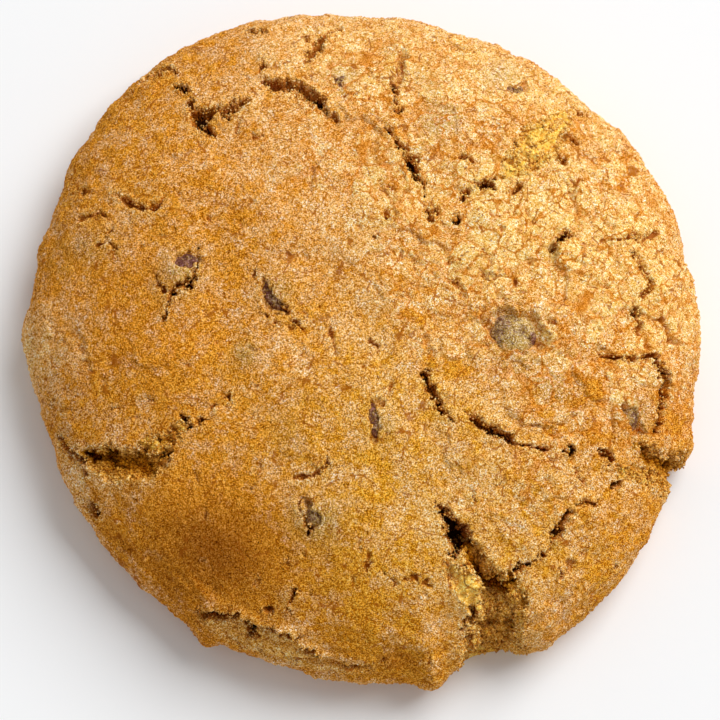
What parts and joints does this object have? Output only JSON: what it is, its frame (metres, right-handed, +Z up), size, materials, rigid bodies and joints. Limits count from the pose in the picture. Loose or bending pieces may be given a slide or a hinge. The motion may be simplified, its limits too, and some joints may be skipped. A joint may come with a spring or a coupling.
{
  "type": "chocolate chip cookie",
  "caption": "Thick round baked cookie with a domed cracked crust, torn splits at its rim and chocolate chips that show through.",
  "frame": {"origin": "middle of the flat foot, under the centre of the cookie's box", "axes": "+Z up through the dome, +X to the right and +Y to the top of the picture"},
  "size_m": [0.084, 0.086, 0.0196],
  "materials": {
    "crust": "dull sandy baked crust",
    "chocolate": "satin chocolate"
  },
  "bodies": {
    "root": {"cookie": "crust", "chip_west": "chocolate", "chip_midwest": "chocolate", "chip_east": "chocolate", "chip_centre": "chocolate", "chip_south": "chocolate", "chip_far_east": "chocolate", "chip_northeast": "chocolate", "chip_north": "chocolate"}
  },
  "joints": []
}
